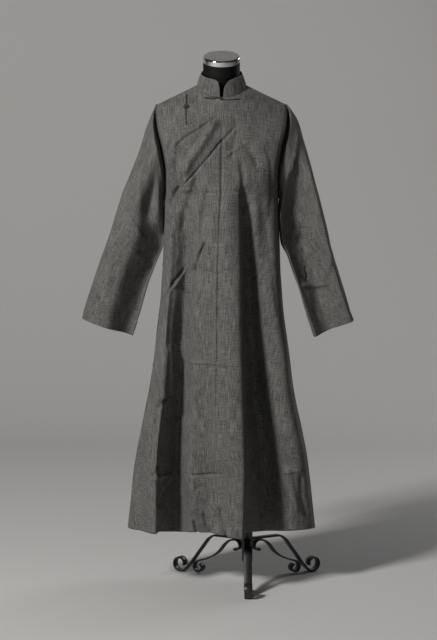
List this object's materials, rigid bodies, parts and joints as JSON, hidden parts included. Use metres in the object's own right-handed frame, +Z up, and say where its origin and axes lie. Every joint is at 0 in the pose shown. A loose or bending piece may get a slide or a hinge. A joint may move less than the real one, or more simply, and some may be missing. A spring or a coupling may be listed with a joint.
{
  "type": "long robe on a dress form stand",
  "caption": "Long wool robe with a standing collar, curved right-hand overlap and knot closures, worn by a limbless dress form on an off-centre iron stand with scrolled legs.",
  "frame": {"origin": "middle of the whole object's box, on the floor", "axes": "+Z up, the front of the robe faces -Y, the wearer's left is at +X"},
  "size_m": [0.8526, 0.4604, 1.6761],
  "materials": {
    "wool": "matte",
    "cord": "matte",
    "form": "matte",
    "chrome": "polished",
    "iron": "satin"
  },
  "bodies": {
    "root": {"body_left": "wool", "body_right": "wool", "overlap_front": "wool", "sleeve_left": "wool", "sleeve_right": "wool", "collar": "wool", "collar_knot": "cord", "collar_loop": "cord", "shoulder_knot": "cord", "shoulder_loop": "cord", "underarm_knot": "cord", "underarm_loop": "cord", "waist_knot": "cord", "waist_loop": "cord", "hip_knot": "cord", "hip_loop": "cord", "thigh_knot": "cord", "thigh_loop": "cord", "form_torso": "form", "neck_cap": "chrome", "pole": "iron", "hub": "iron", "height_screw": "iron", "leg_front": "iron", "leg_left": "iron", "leg_right": "iron", "brace_front": "iron", "brace_left": "iron", "brace_right": "iron"}
  },
  "joints": []
}
